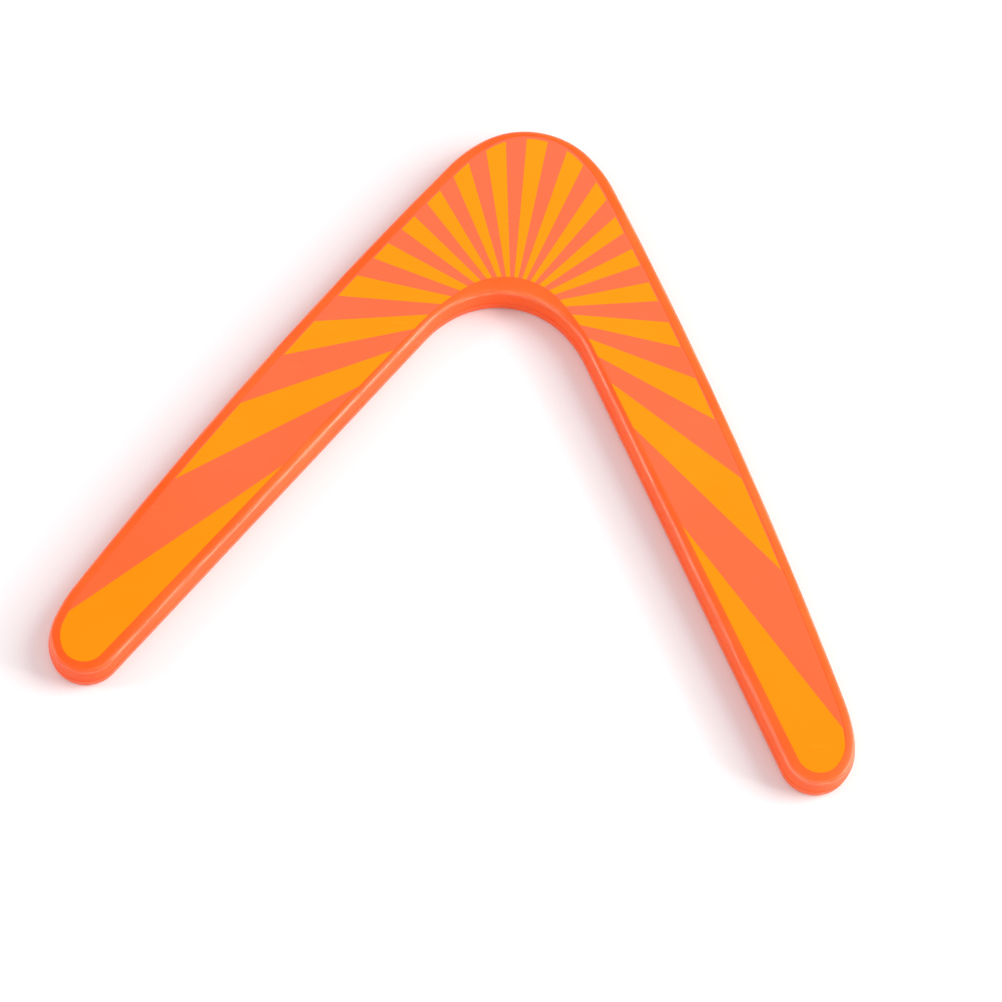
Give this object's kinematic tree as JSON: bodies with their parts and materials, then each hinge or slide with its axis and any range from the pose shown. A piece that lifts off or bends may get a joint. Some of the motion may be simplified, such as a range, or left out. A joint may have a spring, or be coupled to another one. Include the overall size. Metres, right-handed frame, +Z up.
{
  "type": "boomerang",
  "caption": "V-shaped toy boomerang: two hollow moulded half shells joined at mid height, with a sunburst label film let into the upper face.",
  "frame": {"origin": "middle of the part's box in plan, on the flat face that it rests on", "axes": "+X along the span from tip to tip, +Y from the notch towards the elbow along the line of symmetry, +Z up out of the printed face"},
  "size_m": [0.3024, 0.2518, 0.014],
  "materials": {
    "body": "satin moulded, bright orange",
    "label": "smooth printed film, coral orange",
    "rays": "smooth printed ink, golden yellow"
  },
  "bodies": {
    "root": {"lower_shell": "body", "upper_shell": "body", "label_film": "label", "sun_rays": "rays"}
  },
  "joints": []
}
